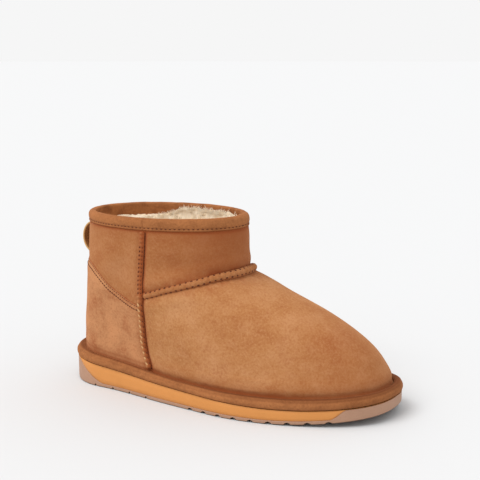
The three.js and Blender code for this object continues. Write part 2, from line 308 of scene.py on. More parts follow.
def grow(bm, distance):
    """Moves the surface outwards, to keep its size through subdivision."""
    bm.normal_update()
    for vert, normal in [(vert, vert.normal.copy()) for vert in bm.verts]:
        vert.co += normal * distance * MM


def upper_sides():
    """The upper's outer and inner sides, as two open sheets without its rims."""
    bm = cad_quads("upper")
    bm.normal_update()
    ends = [
        face for face in bm.faces
        if abs(face.normal.z) > 0.9 and not 30 < face.calc_center_median().z / MM < 130
    ]
    bmesh.ops.delete(bm, geom=ends, context="FACES")
    outside = {max(bm.verts, key=lambda vert: vert.co.x)}
    edge_of_search = list(outside)
    while edge_of_search:
        vert = edge_of_search.pop()
        for edge in vert.link_edges:
            other = edge.other_vert(vert)
            if other not in outside:
                outside.add(other)
                edge_of_search.append(other)
    marks = {vert.index for vert in outside}
    sides = []
    for keep_outside in (True, False):
        side = bm.copy()
        unwanted = [vert for vert in side.verts if (vert.index in marks) != keep_outside]
        bmesh.ops.delete(side, geom=unwanted, context="VERTS")
        sides.append(side)
    bm.free()
    return sides


def relieve(bm, relief):
    """Moves every vertex as relief says, in millimetres, and keeps the painted shade that it gives as the
    vertex's shade.

    relief is given a vertex's normal and its place in the boot's own millimetres.
    """
    shade = bm.verts.layers.float.new("shade")
    bm.normal_update()
    changes = [relief(vert.normal, *measure(vert.co)) for vert in bm.verts]
    for vert, (move, dark) in zip(bm.verts, changes):
        vert[shade] = min(1.0, dark)
        vert.co += move * MM


def close_behind(front, back, depth):
    """Closes a dense sheet with a plainer one, set behind it by depth in millimetres."""
    grow(back, -depth)
    bmesh.ops.reverse_faces(back, faces=back.faces)
    mesh = as_mesh("working", back)
    front.from_mesh(mesh)
    bpy.data.meshes.remove(mesh)
    rims = [edge for edge in front.edges if edge.is_boundary]
    for is_top in (True, False):
        rim = [edge for edge in rims if (edge.verts[0].co.z / MM > 90) == is_top]
        bmesh.ops.bridge_loops(front, edges=rim)
    bmesh.ops.recalc_face_normals(front, faces=front.faces)


def loft(bm, rows):
    """Lays a circle on the first row and extrudes it through the others; gives both end rings."""
    ring = bmesh.ops.create_circle(bm, cap_ends=False, radius=1.0, segments=len(rows[0]))["verts"]
    for vert, spot in zip(ring, rows[0]):
        vert.co = spot
    first = ring
    for row in rows[1:]:
        edges = [bm.edges.get((ring[i - 1], ring[i])) for i in range(len(ring))]
        made = bmesh.ops.extrude_edge_only(bm, edges=edges)["geom"]
        fresh = {item for item in made if isinstance(item, bmesh.types.BMVert)}
        raised = []
        for vert, spot in zip(ring, row):
            linked = (edge.other_vert(vert) for edge in vert.link_edges)
            twin = next(other for other in linked if other in fresh)
            twin.co = spot
            raised.append(twin)
        ring = raised
    return first, ring


def close_across(bm, ring):
    """Closes a ring with rungs that run straight across the boot."""
    half = len(ring) // 2
    outer, inner = ring[1:half], ring[half + 1:]
    rails = [bm.edges.get(pair) for side in (outer, inner) for pair in zip(side, side[1:])]
    bmesh.ops.bridge_loops(bm, edges=rails)
    for middle, near, far in ((0, 1, -1), (half, half - 1, half + 1)):
        bmesh.ops.contextual_create(bm, geom=[ring[middle], ring[near], ring[far]])


def station(spot, along, out, half_width, rise):
    """A section's place on a path: its width lies across, its height stands out."""
    across = along.cross(out).normalized()
    out = across.cross(along).normalized()
    turn = Matrix((across * half_width, out * rise, along.normalized())).transposed()
    return Matrix.Translation(spot) @ turn.to_4x4()


def sweep(bm, stations, segments, squareness=1.0):
    """Runs a round or squarish section through its stations and closes both ends."""
    ring = bmesh.ops.create_circle(bm, cap_ends=False, radius=1.0, segments=segments)["verts"]
    for vert in ring:
        vert.co = [math.copysign(abs(value) ** squareness, value) for value in vert.co]
    bmesh.ops.transform(bm, matrix=stations[0], verts=ring)
    edges = list({edge for vert in ring for edge in vert.link_edges})
    ends = list(edges)
    for before, after in zip(stations, stations[1:]):
        made = bmesh.ops.extrude_edge_only(bm, edges=edges)["geom"]
        verts = [item for item in made if isinstance(item, bmesh.types.BMVert)]
        edges = [
            item for item in made if isinstance(item, bmesh.types.BMEdge) and item.is_boundary
        ]
        bmesh.ops.transform(bm, matrix=after @ before.inverted(), verts=verts)
    bmesh.ops.edgeloop_fill(bm, edges=ends + edges)


def surface_of(name):
    """What rays are cast on to lay a seam on a finished piece."""
    graph = bpy.context.evaluated_depsgraph_get()
    return BVHTree.FromObject(bpy.data.objects[name], graph)


def touch(surface, target, towards, outside=0.4):
    """Where a ray from metres outside, aimed at a point inside the boot, meets the surface."""
    heading = towards.normalized()
    spot, normal, _, _ = surface.ray_cast(target - heading * outside, heading)
    if spot is None:
        raise RuntimeError("a seam misses the upper")
    return spot, normal


def eased(path, passes=3):
    """The same path with small jumps in place and lean taken out."""
    for _ in range(passes):
        inside = [
            ((a + b * 2 + c) / 4, (na + nb * 2 + nc).normalized())
            for (a, na), (b, nb), (c, nc) in zip(path, path[1:], path[2:])
        ]
        path = [path[0], *inside, path[-1]]
    return path


def resample(path, pitch):
    """Spots at an even pitch in millimetres: where, the way along, and the way out."""
    found, carried = [], 0.0
    for (a, out_a), (b, out_b) in zip(path, path[1:]):
        run = (b - a).length
        while carried <= run and run > 0:
            t = carried / run
            found.append((a.lerp(b, t), (b - a).normalized(), out_a.lerp(out_b, t).normalized()))
            carried += pitch * MM
        carried -= run
    return found


def stitch(bm, spot, along, out, length, thickness, flat=0.6):
    """One short stitch of thread, lying along the surface."""
    matrix = station(spot, along, out, thickness * MM / 2, thickness * MM / 2 * flat)
    size = Matrix.Diagonal((1, 1, length * MM / 2, 1))
    bmesh.ops.create_uvsphere(bm, u_segments=6, v_segments=5, radius=1.0, matrix=matrix @ size)


# ---- materials ------------------------------------------------------------------------------
def tint(code):
    """A colour written as its screen value, in the linear values that shaders use."""
    parts = [(code >> shift & 255) / 255 for shift in (16, 8, 0)]
    return tuple(p / 12.92 if p <= 0.04045 else ((p + 0.055) / 1.055) ** 2.4 for p in parts)


def shaded(colour, factor):
    return tuple(min(1.0, part * factor) for part in colour[:3])


def add(tree, kind, inputs=None, **settings):
    """A node with its settings made and its sockets set or linked."""
    node = tree.nodes.new(kind)
    for key, value in settings.items():
        setattr(node, key, value)
    for key, value in (inputs or {}).items():
        if isinstance(value, bpy.types.NodeSocket):
            tree.links.new(value, node.inputs[key])
        elif hasattr(value, "__len__") and len(value) == 3 and node.inputs[key].type == "RGBA":
            node.inputs[key].default_value = (*value, 1.0)
        else:
            node.inputs[key].default_value = value
    return node


def mix(tree, factor, a, b, blend="MIX"):
    node = add(tree, "ShaderNodeMix", {0: factor, 6: a, 7: b}, data_type="RGBA", blend_type=blend)
    return node.outputs[2]


def ranged(tree, value, low, high, to_low=0.0, to_high=1.0):
    node = add(tree, "ShaderNodeMapRange", {
        "Value": value, "From Min": low, "From Max": high, "To Min": to_low, "To Max": to_high,
    }, interpolation_type="SMOOTHSTEP")
    return node.outputs["Result"]


def own_place(tree):
    """Where the point that is being shaded lies in its piece."""
    return add(tree, "ShaderNodeTexCoord").outputs["Object"]


def attribute(tree, name):
    return add(tree, "ShaderNodeAttribute", attribute_name=name).outputs["Fac"]


def grain(tree, coordinates, scale, detail=3.0, roughness=0.55, stretch=None):
    if stretch is not None:
        coordinates = add(tree, "ShaderNodeMapping", {"Vector": coordinates, "Scale": stretch}).outputs[0]
    node = add(tree, "ShaderNodeTexNoise", {
        "Vector": coordinates, "Scale": scale, "Detail": detail, "Roughness": roughness,
    })
    return node.outputs["Fac"]


def maths(tree, operation, a, b):
    return add(tree, "ShaderNodeMath", {0: a, 1: b}, operation=operation).outputs[0]


def nap_group():
    """Brushed suede: soft cloudy patches, strokes of lifted nap, and a fine velvety height."""
    group = bpy.data.node_groups.new("suede_nap", "ShaderNodeTree")
    for way, kind, labels in (
        ("INPUT", "NodeSocketColor", ("Colour", "Light", "Dark")),
        ("INPUT", "NodeSocketFloat", ("Patch Scale", "Patches", "Painted Shade")),
        ("OUTPUT", "NodeSocketColor", ("Colour",)),
        ("OUTPUT", "NodeSocketFloat", ("Height",)),
    ):
        for label in labels:
            group.interface.new_socket(label, in_out=way, socket_type=kind)
    given = group.nodes.new("NodeGroupInput").outputs
    result = group.nodes.new("NodeGroupOutput").inputs
    spot = own_place(group)
    broad = grain(group, spot, given["Patch Scale"], 4.0, 0.6)
    strokes = grain(group, spot, 120.0, 5.0, 0.65, stretch=(0.6, 0.6, 1.0))
    velvet = grain(group, spot, 1500.0, 4.0, 0.75)
    flecks = grain(group, spot, 620.0, 3.0, 0.65)
    layers = (
        (broad, 0.46, 0.74, 0.6, "Light", True), (broad, 0.52, 0.28, 0.4, "Dark", True),
        (strokes, 0.48, 0.72, 0.4, "Light", False), (strokes, 0.5, 0.25, 0.3, "Dark", False),
        (flecks, 0.48, 0.7, 0.42, "Light", False), (flecks, 0.52, 0.3, 0.3, "Dark", False),
    )
    colour = given["Colour"]
    for pattern, low, high, amount, towards, is_patch in layers:
        mask = maths(group, "MULTIPLY", ranged(group, pattern, low, high), amount)
        if is_patch:
            mask = maths(group, "MULTIPLY", mask, given["Patches"])
        colour = mix(group, mask, colour, given[towards])
    # Painted shade: towards the dark colour where the piece's shade attribute asks for it.
    colour = mix(group, given["Painted Shade"], colour, given["Dark"])
    group.links.new(colour, result["Colour"])
    halves = [maths(group, "MULTIPLY", pattern, 0.5) for pattern in (velvet, flecks)]
    group.links.new(maths(group, "ADD", *halves), result["Height"])
    return group


def principled(name, **sockets):
    """A fresh material with one Principled shader; gives the material, its tree and the shader."""
    material = bpy.data.materials.get(name) or bpy.data.materials.new(name)
    material.use_nodes = True
    tree = material.node_tree
    tree.nodes.clear()
    values = {key.replace("_", " "): value for key, value in sockets.items()}
    shader = add(tree, "ShaderNodeBsdfPrincipled", values)
    add(tree, "ShaderNodeOutputMaterial", {"Surface": shader.outputs[0]})
    return material, tree, shader


def dress(tree, shader, base, height, distance, strength=1.0):
    """Gives a shader its colour and its fine relief, whose height is in millimetres."""
    values = {"Height": height, "Strength": strength, "Distance": distance * MM}
    tree.links.new(base, shader.inputs["Base Color"])
    tree.links.new(add(tree, "ShaderNodeBump", values).outputs[0], shader.inputs["Normal"])


def suede(name, colour, light, dark, patch_scale=26.0, patches=1.0, nap=0.35, edge_colour=None):
    """Suede from the shared nap group, with painted shade where the piece's own shade attribute says so.
    """
    material, tree, shader = principled(
        name, Roughness=0.95, Sheen_Weight=0.3, Sheen_Roughness=0.45, Sheen_Tint=shaded(light, 1.25),
        Specular_IOR_Level=0.15,
    )
    group = bpy.data.node_groups.get("suede_nap") or nap_group()
    # The piece's shade attribute is its painted shade mask.
    napped = add(tree, "ShaderNodeGroup", {
        "Colour": colour, "Light": light, "Dark": dark, "Patch Scale": patch_scale, "Patches": patches,
        "Painted Shade": attribute(tree, "shade"),
    }, node_tree=group).outputs
    finish = napped["Colour"]
    if edge_colour is not None:
        finish = mix(tree, attribute(tree, "cut_edge"), finish, edge_colour)
    dress(tree, shader, finish, napped["Height"], nap, 0.6)
    return material


def wool(name, colour, light, dark):
    """Shorn fleece: pale tips, warmer and darker painted shade at the roots between the clumps, and a
    faint painted glow.
    """
    # The faint emission in the tips' colour is a painted glow that lifts the wool in the boot's shaded
    # mouth.
    material, tree, shader = principled(
        name, Roughness=1.0, Sheen_Weight=0.6, Sheen_Roughness=0.6, Specular_IOR_Level=0.1,
        Emission_Color=light, Emission_Strength=0.12,
    )
    spot = own_place(tree)
    cloud = ranged(tree, grain(tree, spot, 160.0, 4.0), 0.35, 0.65)
    base = mix(tree, attribute(tree, "shade"), mix(tree, cloud, colour, light), dark)
    dress(tree, shader, base, grain(tree, spot, 900.0, 6.0, 0.8), 1.2, 0.8)
    return material


def moulded(name, colour, speck, roughness, scale, amount, height):
    """Sole compound: fine specks, a faint moulded grain, and painted shade where the shade attribute says
    so.
    """
    material, tree, shader = principled(name, Roughness=roughness, Specular_IOR_Level=0.35)
    spot = own_place(tree)
    fine = grain(tree, spot, scale, 4.0, 0.7)
    broad = grain(tree, spot, 55.0, 3.0)
    specks = maths(tree, "MULTIPLY", ranged(tree, fine, 0.5, 0.7), amount)
    clouds = maths(tree, "MULTIPLY", ranged(tree, broad, 0.4, 0.7), amount * 0.6)
    base = mix(tree, clouds, mix(tree, specks, colour, speck), shaded(colour, 0.82))
    # Painted shadow in the grooves and along the tread's bottom edge, where a piece's shade attribute is
    # set.
    base = mix(tree, attribute(tree, "shade"), base, shaded(colour, 0.2))
    worn = ranged(tree, broad, 0.35, 0.7, roughness - 0.06, roughness + 0.08)
    tree.links.new(worn, shader.inputs["Roughness"])
    dress(tree, shader, base, fine, height, 0.5)
    return material


def thread(name, colour):
    """Twisted sewing thread."""
    material, tree, shader = principled(name, Roughness=0.8, Specular_IOR_Level=0.25)
    twist = grain(tree, own_place(tree), 2200.0, 2.0)
    dress(tree, shader, mix(tree, twist, shaded(colour, 0.75), shaded(colour, 1.2)), twist, 0.1)
    return material


# ---- settings -------------------------------------------------------------------------------
def colour_setting(name, description, code):
    return FloatVectorProperty(
        name=name, description=description, default=tint(code), size=3, subtype="COLOR", min=0, max=1
    )


def length_setting(name, description, millimetres):
    return FloatProperty(
        name=name, description=description, default=millimetres * MM, min=0, subtype="DISTANCE",
        unit="LENGTH",
    )


class BootColours(bpy.types.PropertyGroup):
    """Colours of the boot's suede, fleece, sole and thread"""
    vamp: colour_setting("Upper", "Suede of the vamp and shaft", 0xB07A4B)
    vamp_light: colour_setting("Upper Light", "Nap brushed up", 0xC59266)
    # Upper Dark is both the colour of the darker nap and of the painted shade in creases, along seams and
    # on the shaft.
    vamp_dark_and_shade: colour_setting("Upper Dark", "Nap pressed down and creases", 0x8E4925)
    counter: colour_setting("Counter", "Suede of the heel counter", 0xB27C54)
    trim: colour_setting("Trim", "Suede of the binding, foxing and pull loop", 0x9E653C)
    # Trim Dark is both the colour of the trim's darker nap and of the painted shade along its edges and
    # creases.
    trim_dark_and_shade: colour_setting("Trim Dark", "Pressed edges of the trim", 0x6A3A1E)
    fleece: colour_setting("Fleece", "Wool at its roots", 0xEFD6B2)
    # The tips' colour is also the colour of the wool's painted glow.
    fleece_tips_and_glow: colour_setting("Fleece Tips", "Wool at its tips", 0xFBEAD0)
    loop: colour_setting("Pull Loop", "Suede of the pull loop", 0xA57848)
    loop_edge: colour_setting("Pull Loop Edge", "Cut edges of the pull loop", 0xC49A64)
    foam: colour_setting("Foam", "Amber foam of the midsole", 0xCE8946)
    rubber: colour_setting("Rubber", "Rubber of the outsole", 0xAE866D)
    thread_dark: colour_setting("Thread", "Sewing thread", 0x5C2E18)
    thread_light: colour_setting("Seam Thread", "Pale thread of the rope seam", 0xC99A6A)


class BootSizes(bpy.types.PropertyGroup):
    """Sizes of the boot's seams, stitches and fleece"""
    bead_width: length_setting("Seam Width", "Width of the roped seams", 5.2)
    bead_rise: length_setting("Seam Rise", "How far a roped seam stands out", 1.9)
    rope_pitch: length_setting("Rope Pitch", "Spacing of the roped seam's stitches", 4.35)
    collar_pitch: length_setting("Collar Pitch", "Spacing of the collar's stitches", 3.5)
    counter_thickness: length_setting("Counter Thickness", "Thickness of the heel counter", 1.3)
    clump: length_setting("Fleece Clump", "Size of a clump of wool", 4.0)
    pile: length_setting("Fleece Pile", "How far the wool's clumps stand up", 2.2)
    tufts: IntProperty(name="Tufts", description="Curled tufts round the collar", default=1400, min=10)
    seed: IntProperty(name="Seed", description="Start of the fleece's random order", default=7)


# ---- sole -----------------------------------------------------------------------------------
SOLE_HALF_COUNT = 120


def sole_solid(levels):
    """A closed solid from (height over the floor at x, inset) levels, bottom to top."""
    bm = bmesh.new()
    rows = []
    for height, inset in levels:
        rows.append([place(p.x, p.y, height(p.x)) for p in outline(SOLE_FORM, SOLE_HALF_COUNT, inset)])
    for ring in loft(bm, rows):
        close_across(bm, ring)
    bmesh.ops.recalc_face_normals(bm, faces=bm.faces)
    return bm


class BOOT_OT_sole(bpy.types.Operator):
    """Builds the cupped rubber outsole with its grooves and the amber foam midsole"""
    bl_idname = "boot.sole"
    bl_label = "Sole"

    def execute(self, context):
        colours = context.scene.boot_colours
        rubber = moulded("rubber", colours.rubber, shaded(colours.rubber, 0.7), 0.62, 900.0, 0.4, 0.15)
        foam = moulded("foam", colours.foam, shaded(colours.foam, 1.25), 0.55, 1400.0, 0.3, 0.12)
        edge = ((0, 1.1), (0.25, 0.65), (0.7, 0.35), (1.5, 0.2), (2.4, 0.1))
        levels = [(lambda x, up=up: ground(x) + up, inset) for up, inset in edge]
        levels += [(lambda x: cup_line(x) - 0.3, 0.05), (cup_line, 0.35)]
        outsole = self.grooved(sole_solid(levels))
        finish_piece("outsole_cup", outsole, rubber, "rubber_tread", "outsole", sharp=32)

        def foam_level(share, up=0.0):
            """A level at a share of the way from the rubber's line to the foam's top."""
            def height(x):
                low, top = cup_line(x) + 0.03, bed(x) - 0.3
                return min(top, low + (top - low) * share + up)
            return height

        wall = [
            (foam_level(0), 0.6), (foam_level(0, 0.35), 0.2), (foam_level(0.3), 0.05),
            (foam_level(0.6), 0.0), (foam_level(0.9), 0.1), (foam_level(1), 0.6),
        ]
        finish_piece("midsole_foam", sole_solid(wall), foam, "foam_sole", "midsole", sharp=50)
        return {"FINISHED"}

    def grooved(self, bm):
        """Cuts the shallow bowed grooves across the tread."""
        cutters = bmesh.new()
        for run, width in ((HEEL_GROOVES, HEEL_GROOVE_WIDTH), (BALL_GROOVES, BALL_GROOVE_WIDTH)):
            for x in steps(*run):
                stations = []
                for y in steps(-66, 66, 13):
                    bowed = x + GROOVE_BOW * (1 - (y / 50) ** 2)
                    spot = place(bowed, y, ground(x) - GROOVE_AXIS_DROP)
                    depth = (GROOVE_DEPTH + GROOVE_AXIS_DROP) * MM
                    stations.append(station(
                        spot, Vector((0, 1, 0)), Vector((0, 0, 1)), width / 2 * MM, depth
                    ))
                sweep(cutters, stations, segments=10)
        bmesh.ops.recalc_face_normals(cutters, faces=cutters.faces)
        cutter = in_scene("grooves", as_mesh("grooves", cutters))
        cut = with_modifier(bm, "BOOLEAN", operation="DIFFERENCE", solver="EXACT", object=cutter)
        bpy.data.objects.remove(cutter)
        # Painted shadow: faces inside the grooves are marked fully dark, and a painted contact shadow
        # darkens the tread's bottom edge.
        shade = cut.faces.layers.float.new("shade")
        for face in cut.faces:
            x, _, z = measure(face.calc_center_median())
            up = z - ground(x)
            cut_by_tool = 0.1 < up < GROOVE_DEPTH + 0.1 and abs(face.normal.y) < 0.5
            in_groove = cut_by_tool and GROOVED_FROM < x < GROOVED_TO
            face[shade] = 1.0 if in_groove else 0.9 * smooth((1.0 - up) / 0.5)
        return cut


# ---- upper ----------------------------------------------------------------------------------
SKIN_DEPTH, LINING_DEPTH = 3.4, 1.2      # how far behind its face each one is closed


def skin_relief(normal, x, y, z):
    """How the suede moves out of its plain form, and how much painted shade it gets."""
    spot = Vector((x, y, z))
    angle = math.degrees(math.atan2(abs(y), x - SHAFT_X))
    above_seam = z - VAMP_SEAM(angle)
    past_side = x - SIDE_SEAM(z)
    above_foxing = z - bed(x) - foxing_top(x)
    below_collar = collar_level(BINDING_FOOT, x) - z
    front = smooth((past_side - 1) / 3)
    free = smooth(above_foxing / 9) * smooth(below_collar / 12)

    relief = free * (1.1 * noise.noise(spot / 58) + 0.35 * noise.noise(spot / 21 + Vector((7, 3, 1))))
    pucker = 0.22 * math.sin(angle * 1.45) * swell(above_seam, 6)
    relief += front * (-1.2 * swell(above_seam, 3.6) + 0.7 * swell(above_seam - 9, 4.5) + pucker)
    relief += front * 0.6 * swell(above_seam + 9, 5)
    relief -= 0.8 * swell(past_side - 2.5, 1.0) * smooth(below_collar)
    relief -= 0.4 * swell(past_side + 3.4, 1.2) * smooth(below_collar)
    relief += -0.7 * swell(above_foxing - 0.3, 2.0) + 0.5 * swell(above_foxing - 7, 5)
    flex = swell(x - 180, 40) * swell(above_foxing - 7, 6) * (1 if y < 0 else 0.7)
    relief += 0.3 * flex * noise.noise(Vector((x / 26, 0, z / 2.6)))

    # Painted shade: in the crease above the foxing, along the vamp seam, in the groove before the side
    # seam and under the collar's binding.
    ragged = 1 + 0.7 * noise.noise(spot / 6)
    at_toe = smooth((x - 195) / 45)
    shade = (0.5 - 0.2 * at_toe) * swell(above_foxing + 0.4, (2.3 - 0.9 * at_toe) * ragged)
    shade += (0.32 - 0.16 * at_toe) * swell(above_foxing, 8)
    shade += front * 0.5 * swell(above_seam, 4.6 * ragged)
    shade += 0.8 * swell(past_side - 2.6, 1.5) + 0.3 * swell(past_side, 4)
    shade += 0.6 * swell(below_collar, 1.6) + 0.15 * swell(below_collar, 8)
    # Painted shade: the upright shaft is darker than the upward-facing vamp, most of all towards its
    # front. The vamp grows darker towards the toe.
    shaft = smooth(above_seam / 4) if front > 0.5 else 1.0
    shade += shaft * (0.38 + 0.3 * smooth((75 - angle) / 60))
    shade += (1 - shaft) * (0.1 + 0.06 * smooth((x - 110) / 60) + 0.26 * smooth((x - 185) / 70))
    return normal * relief, shade


class BOOT_OT_upper(bpy.types.Operator):
    """Builds the suede skin of the vamp and shaft with its soft relief"""
    bl_idname = "boot.upper"
    bl_label = "Upper"

    def execute(self, context):
        colours = context.scene.boot_colours
        skin_suede = suede("upper_suede", colours.vamp, colours.vamp_light, colours.vamp_dark_and_shade)
        coarse, inside = upper_sides()
        inside.free()
        grow(coarse, 0.35)
        bm = subdivided(coarse.copy(), 3)
        relieve(bm, skin_relief)
        close_behind(bm, subdivided(coarse, 1), SKIN_DEPTH)
        finish_piece("upper_skin", bm, skin_suede, "upper_suede", "upper")
        return {"FINISHED"}


# ---- lining ---------------------------------------------------------------------------------
FULL_ANGLE = 28                     # degrees from straight ahead to where the wool stands fullest
WOOL_RISE, WOOL_FULL_RISE = 3.6, 9.2
ROLL_LEVEL, ROLL_SPREAD, ROLL_RISE = 123.5, 5.5, 4.4      # the fuller wool under the binding
RIM_PROBE, RIM_LOW = 139, 112       # heights that the tufts' places are looked for between


def clumps(spot, size):
    """Height of soft wool clumps, 0 in the gaps and 1 at the crowns."""
    shifted = spot / size + Vector((1, 1, 1)) * 0.35 * noise.noise(spot / (size * 0.8))
    distances, _ = noise.voronoi(shifted)
    return max(0.0, 1 - (distances[0] / 0.75) ** 2)


def tuft(order, length):
    """A small bunch of curled fibres that stand up along +Z, as a mesh."""
    bm = bmesh.new()
    spots, fibres, thickness = 5, 8, 0.21
    for _ in range(fibres):
        lean, start = order.uniform(0, math.tau), order.uniform(0, math.tau)
        reach = length * order.uniform(0.55, 1.0)
        foot = Vector((order.gauss(0, 1.0), order.gauss(0, 1.0), -1.2))
        curl = order.uniform(0.4, 0.9)
        turns = order.uniform(2.5, 4.5)
        spread = order.uniform(0.1, 0.7)
        line = []
        for t in steps(0, 1, spots):
            round_angle = start + turns * t
            line.append(foot + Vector((
                curl * math.cos(round_angle) + math.cos(lean) * spread * reach * t * t,
                curl * math.sin(round_angle) + math.sin(lean) * spread * reach * t * t,
                reach * t,
            )))
        stations = []
        for i, spot in enumerate(line):
            along = (line[min(i + 1, spots - 1)] - line[max(i - 1, 0)]).normalized()
            width = thickness * (1 - 0.7 * i / (spots - 1)) * MM
            stations.append(station(spot * MM, along, Vector((0.3, 0.2, 1)), width, width))
        sweep(bm, stations, segments=3)
    bmesh.ops.recalc_face_normals(bm, faces=bm.faces)
    return as_mesh("tuft", bm)


class BOOT_OT_lining(bpy.types.Operator):
    """Builds the fleece lining, the curled wool at the collar and the fleece footbed"""
    bl_idname = "boot.lining"
    bl_label = "Fleece Lining"

    def execute(self, context):
        colours, self.sizes = context.scene.boot_colours, context.scene.boot_sizes
        fleece = wool("fleece", colours.fleece, colours.fleece_tips_and_glow, shaded(colours.fleece, 0.55))
        outside, coarse = upper_sides()
        outside.free()
        bm = subdivided(coarse.copy(), 3)
        relieve(bm, self.wall_fluff)
        close_behind(bm, subdivided(coarse, 1), LINING_DEPTH)
        finish_piece("fleece_lining", bm, fleece, "fleece", "upper")
        self.add_tufts(fleece)
        self.add_footbed(fleece)
        return {"FINISHED"}

    def wool_height(self, spot):
        """Large clumps with smaller ones among them, from 0 to 1."""
        clump = self.sizes.clump / MM
        return 0.65 * clumps(spot, clump) + 0.35 * clumps(spot * 1.1, clump * 0.45)

    def wall_fluff(self, normal, x, y, z):
        """Wool clumps on the wall, with a fuller roll under the collar's binding."""
        height = self.wool_height(Vector((x, y, z)))
        roll = swell(z - ROLL_LEVEL, ROLL_SPREAD)
        rise = (self.sizes.pile / MM) * (height - 0.3) * smooth((134 - z) / 6) + ROLL_RISE * roll
        lift = Vector((0, 0, 1)) * roll * self.fullness(math.atan2(y, x - SHAFT_X), x, y)
        # Painted shade darkens the gaps between the clumps.
        return normal * rise + lift, 0.45 * (1 - height) ** 1.5

    def bed_fluff(self, normal, x, y, z):
        """Wool clumps on the footbed's upper face only."""
        height = self.wool_height(Vector((x, y, z)))
        rise = (self.sizes.pile / MM) * (height - 0.3) if normal.z >= 0.3 else 0.0
        # Painted shade darkens the gaps between the clumps.
        return normal * rise, 0.45 * (1 - height) ** 1.5

    def fullness(self, angle, x, y):
        """How far the wool stands up over the binding, fuller towards the front of the inner side."""
        away = abs((math.degrees(angle) - FULL_ANGLE + 180) % 360 - 180)
        ragged = 1 + 0.35 * noise.noise(Vector((x, y, 0)) / 9)
        return WOOL_RISE + WOOL_FULL_RISE * smooth((126 - away) / 70) * ragged

    def add_tufts(self, fleece):
        """Curls of wool that rise raggedly over the binding's inner leg."""
        order = random.Random(self.sizes.seed)
        kinds = [tuft(order, length) for length in (2.6, 3.1, 3.6, 4.1, 4.6)]
        lining = surface_of("fleece_lining")
        bm = bmesh.new()
        for _ in range(self.sizes.tufts):
            angle = order.uniform(0, math.tau)
            outward = Vector((math.cos(angle), math.sin(angle), 0))
            full = smooth((self.fullness(angle, 0, 0) - WOOL_RISE) / 7)
            if order.random() > 0.25 + full:
                continue
            wall, _, _, _ = lining.ray_cast(place(SHAFT_X, 0, RIM_PROBE), outward)
            if wall is None:
                continue
            above = wall - outward * order.uniform(2.4, 8) * MM
            spot, normal, _, _ = lining.ray_cast(above, Vector((0, 0, -1)))
            if spot is None or spot.z < RIM_LOW * MM:
                continue
            lean = Vector((0, 0, order.uniform(0.3, 1.0))) - outward * order.uniform(0, 0.5)
            stand = (normal * 0.5 + lean).normalized()
            turn = stand.to_track_quat("Z", "Y").to_matrix().to_4x4()
            spin = Matrix.Rotation(order.uniform(0, math.tau), 4, "Z")
            scale = Matrix.Scale(order.uniform(0.7, 1.1) * (0.6 + 0.4 * full), 4)
            copy = order.choice(kinds).copy()
            copy.transform(Matrix.Translation(spot) @ turn @ spin @ scale)
            bm.from_mesh(copy)
            bpy.data.meshes.remove(copy)
        for kind in kinds:
            bpy.data.meshes.remove(kind)
        finish_piece("fleece_curls", bm, fleece, "fleece", "upper")

    def add_footbed(self, fleece):
        """A fleece sock laid on the insole board, drawn in ring by ring to its middle line."""
        bm = bmesh.new()
        rim = outline(FOOTBED_FORM, 70)
        rows = []
        for up, share in (
            (0.3, 0), (3.4, 0), (4.6, 0.05), (5.0, 0.14), (5.2, 0.3), (5.2, 0.5), (5.2, 0.7), (5.2, 0.9),
        ):
            row = []
            for point in rim:
                x = point.x + (min(max(point.x, 42), 222) - point.x) * share
                y = point.y * (1 - share) + share * 8 * smooth((x - 150) / 80)
                row.append(place(x, y, bed(x) + up))
            rows.append(row)
        for ring in loft(bm, rows):
            close_across(bm, ring)
        bmesh.ops.recalc_face_normals(bm, faces=bm.faces)
        bm = subdivided(bm, 1)
        relieve(bm, self.bed_fluff)
        finish_piece("fleece_footbed", bm, fleece, "fleece", "insole")


# ---- heel counter ---------------------------------------------------------------------------
COUNTER_AXIS = 60                   # the upright axis that the counter is laid out round
COUNTER_RUN = 250                   # its length round the heel
COUNTER_TUCK, SEAM_GAP = 1.5, 0.4   # how far it goes under the foxing, and stops short of a side seam


def counter_spot(skin, u, v, inset=None):
    """Where a point of the flat counter meets the upper, its way out, and its distances.

    u runs round the heel from one side seam to the other and v up from the foxing; an inset in
    millimetres below the counter's upper edge may be given in place of v.
    """
    x = COUNTER_AXIS
    for _ in range(3):
        low, top = bed(x) + foxing_top(x) - COUNTER_TUCK, COUNTER_EDGE(x)
        z = low + (top - low) * v if inset is None else top - inset
        front = SIDE_SEAM(z) - SEAM_GAP
        ends = []
        for side in (OUTER, INNER):
            spot, _ = touch(skin, place(front, 0, z), Vector((0, -side, 0)))
            ends.append(math.atan2(abs(measure(spot)[1]), front - COUNTER_AXIS))
        angle = -ends[0] - u * (math.tau - ends[0] - ends[1])
        inward = -Vector((math.cos(angle), math.sin(angle), 0))
        spot, normal = touch(skin, place(COUNTER_AXIS, 0, z), inward)
        x = measure(spot)[0]
    return spot, normal, min(u, 1 - u) * COUNTER_RUN, (top - z) * 0.9


